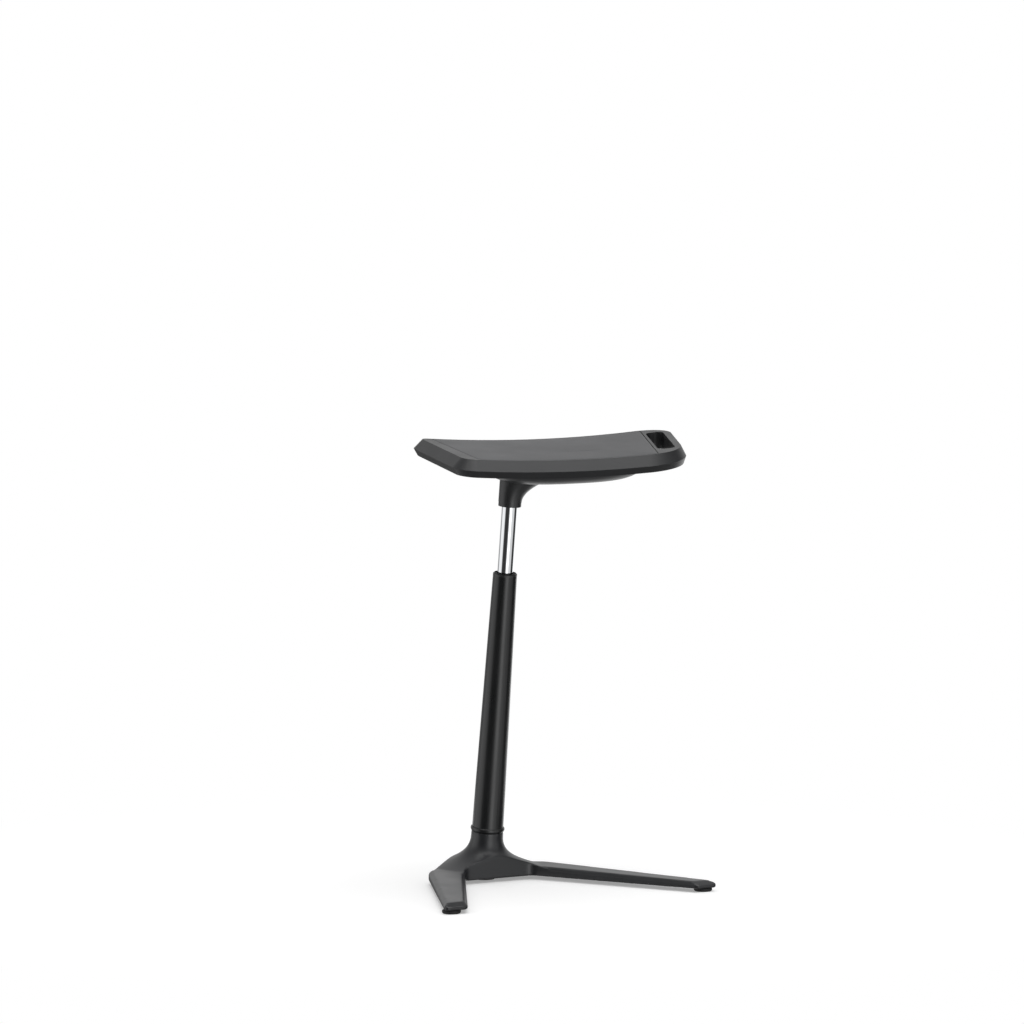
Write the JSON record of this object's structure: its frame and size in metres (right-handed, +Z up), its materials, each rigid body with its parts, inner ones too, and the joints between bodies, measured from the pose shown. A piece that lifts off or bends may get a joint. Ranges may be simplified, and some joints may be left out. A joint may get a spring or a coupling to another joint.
{
  "type": "perch stool",
  "caption": "Perch stool with a V-shaped cast foot, a leaning tapered column, a height spring and a saddle-curved swivel seat with a hand slot.",
  "frame": {"origin": "On the floor under the hub, where the leaning column's axis meets the floor: the middle of the hub pad's underside.", "axes": "+Z up, +X along the foot's line of symmetry towards the open side between the legs, which is also the way the column leans, +Y to the left leg. The seat's front faces 14 degrees off +X at rest, as pictured."},
  "size_m": [0.3297, 0.4918, 0.6484],
  "materials": {
    "cast_black": "satin",
    "tube_black": "satin",
    "plastic_black": "fine grain",
    "shell_plastic": "satin",
    "pad_skin": "fine grain",
    "glide_rubber": "matt",
    "bush_plastic": "matt",
    "steel": "machined",
    "steel_black": "satin",
    "chrome_tube": "mirror",
    "brass_valve": "machined"
  },
  "bodies": {
    "base": {"foot_casting": "cast_black", "foot_glide_left": "glide_rubber", "foot_glide_right": "glide_rubber", "hub_pad": "glide_rubber", "column_tube": "tube_black", "column_bead": "tube_black", "column_cap": "plastic_black", "guide_bush": "bush_plastic", "column_plug": "steel", "bearing_plate": "steel", "column_bolt": "steel", "bolt_washer": "steel", "race_lower": "steel", "bearing_balls": "steel", "ball_cage": "bush_plastic"},
    "rod": {"race_upper": "steel", "piston_rod": "steel", "rod_snap_ring": "steel", "stop_sleeve": "glide_rubber", "piston": "steel", "piston_seal": "glide_rubber"},
    "seat": {"pressure_tube": "chrome_tube", "rod_guide": "bush_plastic", "valve_block": "brass_valve", "seat_carrier": "plastic_black", "carrier_screws": "steel", "threaded_inserts": "brass_valve", "seat_shell": "shell_plastic", "seat_pad": "pad_skin", "lever_pivot_pin": "steel"},
    "lever": {"release_lever": "steel_black", "lever_grip": "plastic_black"},
    "valve": {"valve_pin": "steel"}
  },
  "joints": [
    {"name": "seat_swivel", "type": "hinge", "parent": "base", "child": "rod", "pos_m": [0, 0, 0], "axis": [0.1323, 0, 0.9912], "continuous": true},
    {"name": "height_slide", "type": "slide", "parent": "rod", "child": "seat", "axis": [0.1323, 0, 0.9912], "range_m": [-0.092, 0.108]},
    {"name": "release_lever_pivot", "type": "hinge", "parent": "seat", "child": "lever", "pos_m": [0.05514, 0.00629, 0.60401], "axis": [0.2398, 0.9703, -0.032], "range_deg": [0, 7], "stiffness_Nm_per_rad": 4, "springref_deg": -3.44},
    {"name": "valve_pin_slide", "type": "slide", "parent": "seat", "child": "valve", "axis": [0.1323, 0, 0.9912], "range_m": [-0.0034, 0]}
  ],
  "couplings": [
    {"joint": "valve_pin_slide", "follows": "release_lever_pivot", "m_per_rad": -0.026}
  ]
}
